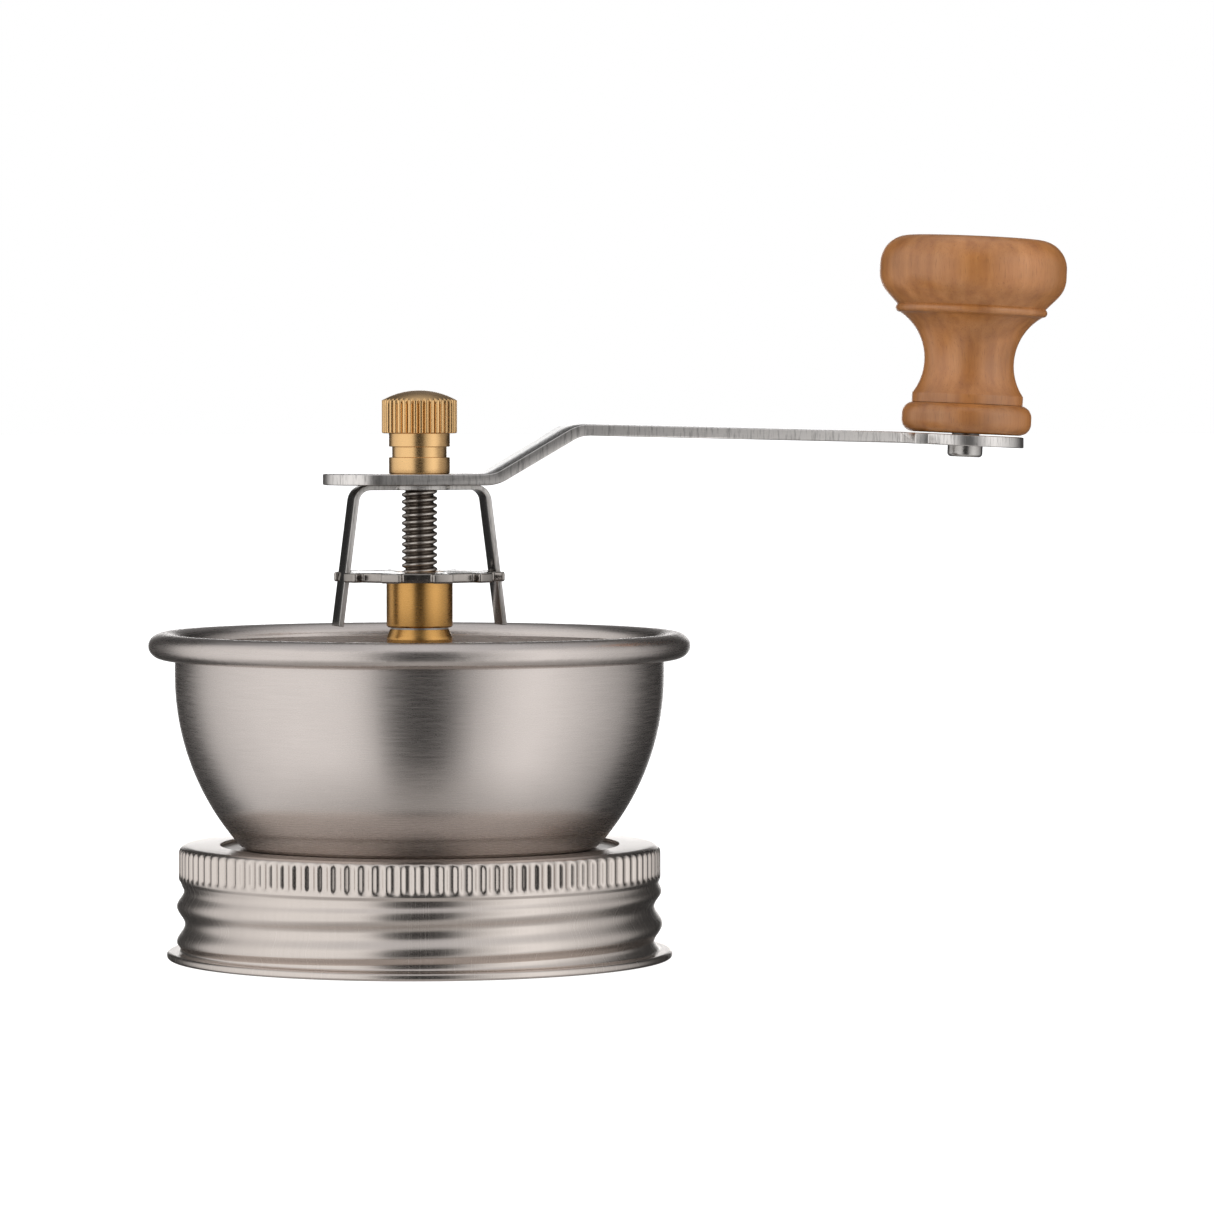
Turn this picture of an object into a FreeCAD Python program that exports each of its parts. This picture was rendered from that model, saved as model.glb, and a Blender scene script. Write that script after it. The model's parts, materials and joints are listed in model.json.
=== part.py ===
import FreeCAD, Part
import math
import os

from FreeCAD import Vector

# A hand coffee mill that screws onto a wide-mouth glass jar.
# Lengths are in millimetres and angles in degrees.
# The origin is the centre of the screw band's foot, +Z runs up the spindle and the crank lies along +X.

# Fits and gaps
running_fit = 0.05  # radial room of a shaft that turns or slides in its hole
bolt_fit = 0.15  # radial room of a bolt in its hole
seat_gap = 0.02  # room between flat faces that turn on each other
band_gap = 0.15  # room between the lid and the band above it
grip_gap = 0.25  # room between the spinning knob and the arm
burr_gap = 0.5  # radial room between the burrs' grinding faces

# Screw band
band_height = 20.4
band_wall = 0.55
band_opening_radius = 35.9
band_skirt_radius = 43.3
band_corner = 1.6
band_grip_height = 5.8
band_ridge_radius = 43.65
band_valley_radius = 42.2
band_ridge_height = 7.9
band_thread_pitch = 6.35
band_thread_round = 1.3
band_flange_radius = 45.45
band_flange_width = 2.9
band_flange_height = 1.4
band_flange_round = 0.63

# Lid disc and jar seal
lid_thickness = 0.6
seal_thickness = 2.0
seal_width = 6.9
throat_radius = 15.0

# Hopper bowl: from its rounded foot the wall curves out, and turns upright below the rolled bead
bowl_wall = 0.8
bowl_height = 38.8
bowl_foot_round = 2.9
bowl_side_radius = 45.7
bowl_side_top = 31.0
bowl_mouth_radius = 43.9
bead_width = 5.5
bead_height = 4.7
bead_lap = 0.75  # how far the bead reaches in over the wall that it ends

# Screws that hold bridge, bowl, lid and burr housing together
screw_radius = 2.0
screw_circle = 25.0
screw_count = 4
screw_turn = 90.0
screw_head_radius = 3.8
screw_head_height = 2.3
screw_head_round = 1.38
screw_end = 1.0
nut_across_flats = 7.0
nut_height = 3.2

# Bearing bridge
strap_thickness = 2.0
strap_width = 12.0
strap_bend = 4.0
bridge_foot_outer = 29.3
bridge_web_half = 11.0
bridge_depth = 3.3

# Bearing bush and its nut
bush_radius = 4.9
bush_head_radius = 5.9
bush_head_height = 3.85
bush_crown_radius = 5.3
bush_crown_height = 1.5
bush_tail = 3.2
bush_nut_across_flats = 12.0
bush_nut_height = 2.2

# Burr housing
housing_flange_radius = 30.0
housing_flange_thickness = 2.6
housing_wall = 3.2
housing_shelf_thickness = 1.4
housing_shelf_radius = 14.2
housing_rib_thickness = 2.0
housing_rib_drop = 7.0
housing_rib_count = 4
housing_fillet = 0.4
burr_key_radius = 1.4
burr_key_count = 3
burr_key_turn = 30.0

# Burrs
ring_radius = 17.0
ring_bottom = 4.8
ring_mouth_radius = 14.0
ring_neck_radius = 10.7
ring_neck_height = 5.2
ring_land_radius = 12.9
cone_lift = 0.2
cone_top_radius = 5.8
cone_shank = 12.0
cone_recess_radius = 8.0
cone_recess_depth = 1.5
fine_tooth_count = 28
fine_tooth_width = 1.0
fine_tooth_depth = 0.7
ring_flute_count = 8
cone_flute_count = 6
flute_width = 3.4
flute_depth = 1.5
tooth_skew = 14.0
flute_skew = 32.0
groove_overrun = 0.1  # share of its length that a groove's cutter runs on at each end

# Spindle
spindle_radius = 3.175
spindle_flats = 4.8
spindle_bottom = 2.2
stud_radius = 2.4
stud_length = 10.0
thread_shown = 14.7
burr_washer_radius = 6.0
burr_washer_thickness = 0.8
burr_nut_across_flats = 8.0
burr_nut_height = 3.0

# Spring and washers
washer_thickness = 0.3
thrust_washer_radius = 5.2
spring_washer_thickness = 0.8
spring_washer_radius = 6.4
spring_radius = 4.75
spring_wire_radius = 0.55
spring_turns = 5

# Adjuster nut and star wheel
adjuster_radius = 5.95
adjuster_height = 8.26
adjuster_chamfer = 0.3
wheel_spigot_radius = 4.3
wheel_radius = 15.35
wheel_thickness = 1.7
wheel_notch_count = 10
wheel_notch_width = 5.5
wheel_notch_depth = 2.4
wheel_corner = 0.45

# Lock clip
clip_thickness = 0.9
clip_width = 5.0
clip_top_half = 12.05
clip_foot_half = 15.25
clip_drop = 24.8
clip_bend = 2.6
clip_hub_radius = 5.6
clip_turn = 9.0

# Crank arm
arm_thickness = 2.0
arm_tail_radius = 9.9
arm_tail_offset = 7.5
arm_strip_half = 9.3
arm_bend_start = 12.5
arm_bend_radius = 6.2
arm_rise = 8.9
arm_slope = 30.3
arm_droop = 1.4
eye_droop = 2.6
crank_radius = 100.15
eye_radius = 10.6
eye_shoulder = 13.85
eye_neck = 10.75
eye_neck_half = 6.6

# Cap nut
cap_radius = 5.475
cap_body_height = 7.25
cap_groove_radius = 4.9
cap_groove_start = 2.95
cap_groove_end = 4.85
cap_chamfer = 0.3
cap_knurl_radius = 6.75
cap_knurl_height = 5.9
cap_dome_height = 1.8
cap_flute_count = 40
cap_flute_depth = 0.4
cap_roof = 4.6

# Knob, its axle and plug: heights are above the knob's base
axle_radius = 2.5
axle_rivet_radius = 3.2
axle_rivet_height = 2.0
axle_rivet_round = 0.7
axle_head_radius = 4.4
axle_head_height = 2.2
knob_seat_height = 26.5
knob_well_radius = 5.5
knob_plug_height = 31.0
knob_height = 35.8
knob_base_radius = 11.8
knob_base_height = 5.45
knob_base_round = 2.2
knob_collar_radius = 10.1
knob_collar_top = 7.05
knob_waist_radius = 8.15
knob_waist_height = 13.0
knob_cove_radius = 13.0
knob_cove_height = 21.5
knob_bead_radius = 13.95
knob_bead_top = 23.3
knob_bulb_radius = 17.1
knob_bulb_corner = 24.6
knob_bulb_round = 5.9
knob_shoulder_round = 7.4
knob_crown_rise = 0.1
grip_washer_thickness = 0.6

# Levels up the spindle
lid_top = band_height - band_wall - band_gap
lid_bottom = lid_top - lid_thickness
seal_bottom = lid_bottom - seal_thickness
lid_radius = band_skirt_radius - band_wall / 2 - band_corner  # ends where the band's corner begins
floor_top = lid_top + bowl_wall
rim_top = lid_top + bowl_height
bead_radius = bowl_mouth_radius - bead_lap + bead_width
flange_bottom = lid_bottom - housing_flange_thickness
bridge_foot_inner = screw_circle - screw_head_radius - strap_bend  # its bend clears the screw heads
web_top = rim_top - bridge_depth
web_bottom = web_top - strap_thickness
bush_top = web_top + bush_head_height
bush_bottom = web_bottom - bush_tail
spring_seat = bush_bottom - seat_gap - spring_washer_thickness
nut_bottom = bush_top + washer_thickness + 2 * seat_gap
wheel_bottom = nut_bottom + adjuster_height
wheel_top = wheel_bottom + wheel_thickness
clip_bottom = wheel_top + thread_shown
arm_bottom = clip_bottom + clip_thickness
arm_top = arm_bottom + arm_thickness
ring_top = lid_bottom - seat_gap
ring_neck = ring_bottom + ring_neck_height
cone_bottom = ring_bottom + cone_lift
cone_top = ring_neck + cone_shank
cone_seat = cone_bottom + cone_recess_depth

# The arm's outer stretch, which droops a little towards the knob, and its eye, which droops more
arm_outer_start = arm_bend_start + arm_rise / math.tan(math.radians(arm_slope))
arm_outer_level = arm_bottom + arm_thickness / 2 + arm_rise
droop_tangent = math.tan(math.radians(arm_droop))
eye_start = crank_radius - eye_shoulder
eye_start_level = arm_outer_level - (eye_start - arm_outer_start) * droop_tangent
eye_tangent = math.tan(math.radians(eye_droop))

up = Vector(0, 0, 1)
reach = 200.0  # longer than any piece, for cutting tools


def rounded_wire(corners):
    """Closed wire in the XZ plane through corners (x, z) or (x, z, rounding radius)."""
    points = [Vector(corner[0], 0, corner[1]) for corner in corners]
    starts, ends, edges = [], [], []
    for index, corner in enumerate(corners):
        point = points[index]
        radius = corner[2] if len(corner) > 2 else 0
        if radius == 0:
            starts.append(point)
            ends.append(point)
            continue
        before = (points[index - 1] - point).normalize()
        after = (points[(index + 1) % len(points)] - point).normalize()
        half = before.getAngle(after) / 2
        start = point + before * (radius / math.tan(half))
        end = point + after * (radius / math.tan(half))
        middle = point + (before + after).normalize() * (radius / math.sin(half) - radius)
        edges.append(Part.Arc(start, middle, end).toShape())
        starts.append(start)
        ends.append(end)
    for index, start in enumerate(starts):
        if (start - ends[index - 1]).Length > 1e-6:
            edges.append(Part.LineSegment(ends[index - 1], start).toShape())
    return Part.Wire(Part.__sortEdges__(edges))


def turned(corners):
    """Solid of revolution about Z from a closed outline of (radius, z) corners."""
    return Part.Face(rounded_wire(corners)).revolve(Vector(), up, 360)


def disc(radius, bottom, top):
    return Part.makeCylinder(radius, top - bottom, Vector(0, 0, bottom))


def ring(inner, outer, bottom, top):
    return disc(outer, bottom, top).cut(disc(inner, bottom, top))


def slab(corners, bottom, top):
    """Straight prism over a plan outline of (x, y) corners."""
    points = [Vector(x, y, bottom) for x, y in corners]
    return Part.Face(Part.makePolygon(points + points[:1])).extrude(Vector(0, 0, top - bottom))


def hexagon(across_flats, bottom, top):
    radius = across_flats / math.sqrt(3)
    turns = [math.radians(60 * side) for side in range(6)]
    return slab([(radius * math.cos(turn), radius * math.sin(turn)) for turn in turns], bottom, top)


def turn(shape, angle):
    copy = shape.copy()
    copy.rotate(Vector(), up, angle)
    return copy


def around(shape, count, first=0.0):
    """Copies of a shape, evenly spaced about Z."""
    return [turn(shape, first + 360.0 * index / count) for index in range(count)]


def double_d(radius, flats, bottom, top):
    """Round bar with two flats parallel to X."""
    bar = disc(radius, bottom, top)
    return bar.common(slab([(-radius, -flats / 2), (radius, -flats / 2),
                            (radius, flats / 2), (-radius, flats / 2)], bottom, top))


def strip_outline(path, thickness):
    """Outline of a bent strip whose middle line runs through corners (x, z) or (x, z, bend radius)."""
    points = [Vector(corner[0], 0, corner[1]) for corner in path]
    runs = [(after - before).normalize() for before, after in zip(points, points[1:])]
    sides = []
    for side in (1, -1):
        outline = []
        for index, corner in enumerate(path):
            before = runs[max(index - 1, 0)]
            after = runs[min(index, len(runs) - 1)]
            out_before = Vector(-before.z, 0, before.x) * side
            out_after = Vector(-after.z, 0, after.x) * side
            miter = (out_before + out_after).normalize()
            point = points[index] + miter * (thickness / 2 / miter.dot(out_after))
            bend = corner[2] if len(corner) > 2 else 0
            if bend:
                inside = (after - before).dot(out_before) > 0
                bend += -thickness / 2 if inside else thickness / 2
            outline.append((point.x, point.z, bend))
        sides.append(outline)
    return sides[0] + sides[1][::-1]


def bent_strip(path, thickness, width):
    """Flat strip bent in the XZ plane and centred on it."""
    face = Part.Face(rounded_wire(strip_outline(path, thickness)))
    strip = face.extrude(Vector(0, width, 0))
    strip.translate(Vector(0, -width / 2, 0))
    return strip


def tangent_arc(start, along, end):
    """Arc from start to end that leaves start in the direction along."""
    chord = end - start
    angle = along.getAngle(chord)
    corner = start + along * (chord.Length / 2 / math.cos(angle))
    middle = (start + end) * 0.5
    bulge = (corner - middle).normalize() * (chord.Length / 2 * math.tan(angle / 2))
    return Part.Arc(start, middle + bulge, end).toShape()


def groove(start, end, width, depth, skew):
    """Three-sided cutter that sinks into a face of revolution.

    The face runs from start to end, both (radius, z), the end is turned on by the skew angle,
    and a positive depth cuts towards the axis.
    """
    first = Vector(start[0], 0, start[1])
    last = Vector(end[0] * math.cos(math.radians(skew)), end[0] * math.sin(math.radians(skew)), end[1])
    slope = Vector(end[0] - start[0], 0, end[1] - start[1]).normalize()
    inward = Vector(-abs(slope.z), 0, slope.x if slope.z > 0 else -slope.x)
    lift = inward * -depth
    side = Vector(0, width, 0)
    corners = [first + lift + side, first + lift - side, first + inward * depth]
    run = last - first
    face = Part.Face(Part.makePolygon(corners + corners[:1]))
    face.translate(run * -groove_overrun)
    return face.extrude(run * (1 + 2 * groove_overrun))


def screw_places():
    """Angles of the screws: the first pair passes through the bridge's feet, on Y."""
    return [screw_turn + 360.0 * index / screw_count for index in range(screw_count)]


def screw_holes():
    hole = Part.makeCylinder(screw_radius + bolt_fit, reach, Vector(screw_circle, 0, -reach / 2))
    return [turn(hole, place) for place in screw_places()]


def bowl_side(inset):
    """Edges of the bowl's wall from floor to bead, moved in by an inset, with their first and last points."""
    centre = Vector(bowl_mouth_radius - bowl_side_radius, 0, lid_top + bowl_side_top)
    spread = math.sqrt((bowl_side_radius - bowl_foot_round) ** 2 - (bowl_side_top - bowl_foot_round) ** 2)
    foot = Vector(centre.x + spread, 0, lid_top + bowl_foot_round)
    lean = (foot - centre).normalize()
    out = Vector(1, 0, 0)
    foot_radius = bowl_foot_round - inset
    side_radius = bowl_side_radius - inset
    first = foot - up * foot_radius
    join = foot + lean * foot_radius
    top = centre + out * side_radius
    last = Vector(top.x, 0, rim_top - bead_height / 2)
    edges = [
        Part.Arc(first, foot + (lean - up).normalize() * foot_radius, join).toShape(),
        Part.Arc(join, centre + (lean + out).normalize() * side_radius, top).toShape(),
        Part.LineSegment(top, last).toShape(),
    ]
    return edges, first, last


def hopper_bowl():
    outside, outside_first, outside_last = bowl_side(0)
    inside, inside_first, inside_last = bowl_side(bowl_wall)
    hole_top = Vector(throat_radius, 0, floor_top)
    hole_bottom = Vector(throat_radius, 0, lid_top)
    links = [
        Part.LineSegment(outside_last, inside_last).toShape(),
        Part.LineSegment(inside_first, hole_top).toShape(),
        Part.LineSegment(hole_top, hole_bottom).toShape(),
        Part.LineSegment(hole_bottom, outside_first).toShape(),
    ]
    section = Part.Wire(Part.__sortEdges__(outside + inside + links))
    shell = Part.Face(section).revolve(Vector(), up, 360)
    middle = Vector(bead_radius - bead_width / 2, 0, rim_top - bead_height / 2)
    oval = Part.Ellipse(middle + Vector(bead_width / 2, 0, 0), middle + up * (bead_height / 2), middle)
    bead = Part.Face(Part.Wire([oval.toShape()])).revolve(Vector(), up, 360)
    return shell.fuse(bead).cut(screw_holes())


def screw_band():
    half = band_wall / 2
    valley = band_valley_radius - half
    path = [
        (band_opening_radius, band_height - half),
        (band_skirt_radius - half, band_height - half, band_corner),
        (band_skirt_radius - half, band_height - band_grip_height, band_thread_round),
        (valley, band_ridge_height + band_thread_pitch / 2, band_thread_round),
        (band_ridge_radius - half, band_ridge_height, band_thread_round),
        (valley, band_ridge_height - band_thread_pitch / 2, band_thread_round),
        (band_ridge_radius - half, band_flange_height / 2),
    ]
    skirt = turned(strip_outline(path, band_wall))
    inner = band_flange_radius - band_flange_width
    hem = turned([(inner, 0), (band_flange_radius, 0, band_flange_round),
                  (band_flange_radius, band_flange_height, band_flange_round), (inner, band_flange_height)])
    return skirt.fuse(hem).removeSplitter()


def lid_disc():
    return ring(throat_radius, lid_radius, lid_bottom, lid_top).cut(screw_holes())


def jar_seal():
    return ring(lid_radius - seal_width, lid_radius, seal_bottom, lid_bottom)


def burr_keys(radius):
    """Upright half-round keys that stop the ring burr turning in its housing."""
    key = Part.makeCylinder(radius, lid_bottom - ring_bottom, Vector(ring_radius, 0, ring_bottom))
    return around(key, burr_key_count, burr_key_turn)


def burr_housing():
    pocket = ring_radius + running_fit
    body = pocket + housing_wall
    shelf = ring_bottom - housing_shelf_thickness
    cup = turned([
        (pocket, lid_bottom), (housing_flange_radius, lid_bottom, housing_fillet),
        (housing_flange_radius, flange_bottom, housing_fillet), (body, flange_bottom, housing_fillet),
        (body, 0, housing_fillet), (pocket, 0, housing_fillet), (pocket, shelf),
        (housing_shelf_radius, shelf), (housing_shelf_radius, ring_bottom), (pocket, ring_bottom),
    ])
    rib_outline = [(body - housing_wall / 2, flange_bottom), (housing_flange_radius, flange_bottom),
                   (body, flange_bottom - housing_rib_drop),
                   (body - housing_wall / 2, flange_bottom - housing_rib_drop)]
    rib = Part.Face(rounded_wire(rib_outline)).extrude(Vector(0, housing_rib_thickness, 0))
    rib.translate(Vector(0, -housing_rib_thickness / 2, 0))
    ribs = around(rib, housing_rib_count, 180.0 / housing_rib_count)
    keys = [key.cut(disc(ring_radius - burr_key_radius, 0, reach)) for key in burr_keys(burr_key_radius)]
    return cup.fuse(ribs + keys).removeSplitter().cut(screw_holes())


def outer_burr():
    blank = turned([
        (ring_land_radius, ring_bottom), (ring_radius, ring_bottom), (ring_radius, ring_top),
        (ring_mouth_radius, ring_top), (ring_neck_radius, ring_neck),
    ])
    tooth = groove((ring_land_radius, ring_bottom), (ring_neck_radius, ring_neck),
                   fine_tooth_width, -fine_tooth_depth, tooth_skew)
    flute = groove((ring_neck_radius, ring_neck), (ring_mouth_radius, ring_top),
                   flute_width, -flute_depth, flute_skew)
    cuts = around(tooth, fine_tooth_count) + around(flute, ring_flute_count)
    return blank.cut(cuts).cut(burr_keys(burr_key_radius + bolt_fit))


def cone_radius(height):
    """Radius of the cone burr's grinding face, parallel to the ring's."""
    share = (height - ring_bottom) / ring_neck_height
    return ring_land_radius + (ring_neck_radius - ring_land_radius) * share - burr_gap


def inner_burr():
    bottom_radius = cone_radius(cone_bottom)
    neck_radius = cone_radius(ring_neck)
    blank = turned([
        (0, cone_seat), (cone_recess_radius, cone_seat), (cone_recess_radius, cone_bottom),
        (bottom_radius, cone_bottom), (neck_radius, ring_neck), (cone_top_radius, cone_top), (0, cone_top),
    ])
    tooth = groove((bottom_radius, cone_bottom), (neck_radius, ring_neck),
                   fine_tooth_width, fine_tooth_depth, -tooth_skew)
    flute = groove((neck_radius, ring_neck), (cone_top_radius, cone_top),
                   flute_width, flute_depth, -flute_skew)
    bore = double_d(spindle_radius + running_fit, spindle_flats + 2 * running_fit, cone_bottom, cone_top)
    cuts = around(tooth, fine_tooth_count) + around(flute, cone_flute_count)
    return blank.cut(cuts).cut(bore)


def bearing_bridge():
    half = strap_thickness / 2
    foot = floor_top + half
    web = web_top - half
    path = [
        (-bridge_foot_outer, foot), (-bridge_foot_inner, foot, strap_bend),
        (-bridge_web_half, web, strap_bend), (bridge_web_half, web, strap_bend),
        (bridge_foot_inner, foot, strap_bend), (bridge_foot_outer, foot),
    ]
    strap = turn(bent_strip(path, strap_thickness, strap_width), 90)
    return strap.cut(screw_holes()).cut(disc(bush_radius + running_fit, 0, reach))


def bearing_bush():
    bore = spindle_radius + running_fit
    return turned([
        (bore, bush_bottom), (bush_radius, bush_bottom), (bush_radius, web_top),
        (bush_head_radius, web_top), (bush_head_radius, bush_top - bush_crown_height, bush_crown_height),
        (bush_crown_radius, bush_top), (bore, bush_top),
    ])


def bush_nut():
    nut = hexagon(bush_nut_across_flats, web_bottom - bush_nut_height, web_bottom)
    return nut.cut(disc(bush_radius + running_fit, 0, reach))


def hopper_screws():
    """Pan-head screws: one pair clamps the bridge's feet, the other the bowl's floor."""
    grip = floor_top + strap_thickness - flange_bottom
    length = grip + nut_height + screw_end
    screws = []
    for index, place in enumerate(screw_places()):
        seat = floor_top + (strap_thickness if index % 2 == 0 else 0)
        top = seat + screw_head_height
        head = turned([(0, seat), (screw_head_radius, seat),
                       (screw_head_radius, top, screw_head_round), (0, top)])
        screw = head.fuse(disc(screw_radius, seat - length, seat)).removeSplitter()
        screw.translate(Vector(screw_circle, 0, 0))
        screws.append(turn(screw, place))
    return Part.makeCompound(screws)


def hopper_nuts():
    nut = hexagon(nut_across_flats, flange_bottom - nut_height, flange_bottom)
    nut = nut.cut(disc(screw_radius + running_fit, 0, reach))
    nut.translate(Vector(screw_circle, 0, 0))
    return Part.makeCompound([turn(nut, place) for place in screw_places()])


def thrust_washer():
    bottom = bush_top + seat_gap
    return ring(spindle_radius + running_fit, thrust_washer_radius, bottom, bottom + washer_thickness)


def spring_washer():
    return ring(spindle_radius + running_fit, spring_washer_radius,
                spring_seat, spring_seat + spring_washer_thickness)


def spring_place(turns, low, rise):
    """Place and direction on the spring's helix after a number of turns."""
    angle = 2 * math.pi * turns
    place = Vector(spring_radius * math.cos(angle), spring_radius * math.sin(angle), low + rise * turns)
    along = Vector(-math.sin(angle), math.cos(angle), rise / (2 * math.pi * spring_radius)).normalize()
    return place, along


def burr_spring():
    """Coil spring whose wire follows its helix in tangent arcs, two to each half turn."""
    low = cone_top + spring_wire_radius + seat_gap
    high = spring_seat - spring_wire_radius - seat_gap
    rise = (high - low) / spring_turns
    arcs = []
    for half in range(2 * spring_turns):
        start, out = spring_place(half / 2, low, rise)
        end, back = spring_place((half + 1) / 2, low, rise)
        gap = end - start
        bend = 2 * out.dot(back) - 2
        pull = gap.dot(out + back)
        length = (pull - math.sqrt(pull ** 2 - bend * gap.dot(gap))) / bend
        meet = (start + out * length + end - back * length) * 0.5
        arcs.append(tangent_arc(start, out, meet))
        arcs.append(tangent_arc(end, back * -1, meet))
    start, out = spring_place(0, low, rise)
    section = Part.Face(Part.Wire([Part.makeCircle(spring_wire_radius, start, out)]))
    return Part.Wire(Part.__sortEdges__(arcs)).makePipe(section)


def spindle():
    flats_top = arm_top - seat_gap
    bars = [
        disc(stud_radius, spindle_bottom, cone_seat),
        double_d(spindle_radius, spindle_flats, cone_seat, cone_top),
        disc(spindle_radius, cone_top, clip_bottom),
        double_d(spindle_radius, spindle_flats, clip_bottom, flats_top),
        disc(stud_radius, flats_top, arm_top + stud_length),
    ]
    return bars[0].fuse(bars[1:]).removeSplitter()


def burr_washer():
    return ring(stud_radius + running_fit, burr_washer_radius, cone_seat - burr_washer_thickness, cone_seat)


def burr_nut():
    top = cone_seat - burr_washer_thickness
    nut = hexagon(burr_nut_across_flats, top - burr_nut_height, top)
    return nut.cut(disc(stud_radius + running_fit, 0, reach))


def adjuster_nut():
    bore = spindle_radius + running_fit
    return turned([
        (bore, nut_bottom), (adjuster_radius - adjuster_chamfer, nut_bottom),
        (adjuster_radius, nut_bottom + adjuster_chamfer), (adjuster_radius, wheel_bottom),
        (wheel_spigot_radius, wheel_bottom), (wheel_spigot_radius, wheel_top), (bore, wheel_top),
    ])


def star_wheel():
    half = wheel_notch_width / 2
    floor = wheel_radius - wheel_notch_depth
    notch = slab([(floor, -half), (wheel_radius * 2, -half), (wheel_radius * 2, half), (floor, half)],
                 wheel_bottom, wheel_top)
    blank = ring(wheel_spigot_radius + running_fit, wheel_radius, wheel_bottom, wheel_top)
    wheel = blank.cut(around(notch, wheel_notch_count, clip_turn))
    corners = []
    for edge in wheel.Edges:
        middle = edge.CenterOfMass
        upright = edge.BoundBox.ZLength > wheel_thickness / 2
        if upright and math.hypot(middle.x, middle.y) > floor - seat_gap:
            corners.append(edge)
    return wheel.makeFillet(wheel_corner, corners)


def lock_clip():
    web = clip_bottom + clip_thickness / 2
    foot = web - clip_drop
    path = [(-clip_foot_half, foot), (-clip_top_half, web, clip_bend),
            (clip_top_half, web, clip_bend), (clip_foot_half, foot)]
    clip = bent_strip(path, clip_thickness, clip_width).fuse(disc(clip_hub_radius, clip_bottom, arm_bottom))
    hole = double_d(spindle_radius + running_fit, spindle_flats + 2 * running_fit, clip_bottom, arm_bottom)
    return turn(clip.removeSplitter(), clip_turn).cut(hole)


def grip_place(shape):
    """Moves a shape built about the knob's own axis to the arm's eye, on top of the drooping arm."""
    level = eye_start_level - eye_shoulder * eye_tangent
    tilt = math.radians(eye_droop)
    top = Vector(crank_radius, 0, level) + Vector(math.sin(tilt), 0, math.cos(tilt)) * (arm_thickness / 2)
    copy = shape.copy()
    copy.rotate(Vector(), Vector(0, 1, 0), eye_droop)
    copy.translate(top)
    return copy


def crank_arm():
    middle = arm_bottom + arm_thickness / 2
    tail = -arm_tail_offset - 2 * arm_tail_radius
    tip = crank_radius + 2 * eye_radius
    path = [
        (tail, middle), (arm_bend_start, middle, arm_bend_radius),
        (arm_outer_start, arm_outer_level, arm_bend_radius),
        (eye_start, eye_start_level), (tip, eye_start_level - (tip - eye_start) * eye_tangent),
    ]
    strip = bent_strip(path, arm_thickness, 4 * arm_tail_radius)
    low = arm_bottom - arm_thickness
    high = arm_top + arm_rise + arm_thickness
    side = [(-arm_tail_offset, arm_tail_radius), (crank_radius - eye_shoulder, arm_strip_half),
            (crank_radius - eye_neck, eye_neck_half), (crank_radius, eye_neck_half)]
    plan = slab(side + [(x, -y) for x, y in side[::-1]], low, high)
    ends = [disc(arm_tail_radius, low, high), disc(eye_radius, low, high)]
    ends[0].translate(Vector(-arm_tail_offset, 0, 0))
    ends[1].translate(Vector(crank_radius, 0, 0))
    arm = strip.common(plan.fuse(ends))
    hub = double_d(spindle_radius + running_fit, spindle_flats + 2 * running_fit, low, high)
    eye = grip_place(disc(axle_radius + running_fit, -2 * arm_thickness, arm_thickness))
    return arm.cut([hub, eye])


def cap_nut():
    bottom = arm_top
    shoulder = bottom + cap_body_height
    knurl_top = shoulder + cap_knurl_height
    crown = knurl_top + cap_dome_height
    bore = stud_radius + running_fit
    roof = crown - cap_roof
    groove_low = bottom + cap_groove_start
    groove_high = bottom + cap_groove_end
    body = turned([
        (bore, bottom), (cap_radius - cap_chamfer, bottom), (cap_radius, bottom + cap_chamfer),
        (cap_radius, groove_low), (cap_groove_radius, groove_low), (cap_groove_radius, groove_high),
        (cap_radius, groove_high), (cap_radius, shoulder), (cap_knurl_radius - cap_chamfer, shoulder),
        (cap_knurl_radius, shoulder + cap_chamfer), (cap_knurl_radius, crown), (0, crown), (0, roof),
        (bore, roof),
    ])
    dome_radius = (cap_knurl_radius ** 2 + cap_dome_height ** 2) / (2 * cap_dome_height)
    dome = Part.makeSphere(dome_radius, Vector(0, 0, crown - dome_radius))
    deep = cap_knurl_radius - cap_flute_depth
    flute = slab([(deep, 0), (cap_knurl_radius + cap_flute_depth, 2 * cap_flute_depth),
                  (cap_knurl_radius + cap_flute_depth, -2 * cap_flute_depth)], shoulder, knurl_top)
    return body.common(dome).cut(around(flute, cap_flute_count))


def knob_blank():
    """Outer form of the knob about its own axis: foot, collar, cove, bead and bulb."""
    collar_low = Vector(knob_collar_radius, 0, 0)
    collar_end = Vector(knob_collar_radius, 0, knob_collar_top)
    waist = Vector(knob_waist_radius, 0, knob_waist_height)
    cove_end = Vector(knob_cove_radius, 0, knob_cove_height)
    bead_middle = Vector(knob_bead_radius, 0, (knob_cove_height + knob_bead_top) / 2)
    bead_end = Vector(knob_cove_radius, 0, knob_bead_top)
    axis_high = Vector(0, 0, knob_bead_top)
    section = [
        Part.LineSegment(Vector(), collar_low).toShape(),
        Part.LineSegment(collar_low, collar_end).toShape(),
        Part.Arc(collar_end, waist, cove_end).toShape(),
        Part.Arc(cove_end, bead_middle, bead_end).toShape(),
        Part.LineSegment(bead_end, axis_high).toShape(),
        Part.LineSegment(axis_high, Vector()).toShape(),
    ]
    neck = Part.Face(Part.Wire(section)).revolve(Vector(), up, 360)
    foot = turned([(0, 0), (knob_base_radius, 0, knob_base_round),
                   (knob_base_radius, knob_base_height, knob_base_round), (0, knob_base_height)])
    shoulder = knob_height - knob_crown_rise
    bulb = turned([(0, knob_bead_top), (knob_cove_radius, knob_bead_top),
                   (knob_bulb_radius, knob_bulb_corner, knob_bulb_round),
                   (knob_bulb_radius, shoulder, knob_shoulder_round), (0, knob_height)])
    blank = neck.fuse([foot, bulb]).removeSplitter()
    blank.translate(up * grip_gap)
    return blank


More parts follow.
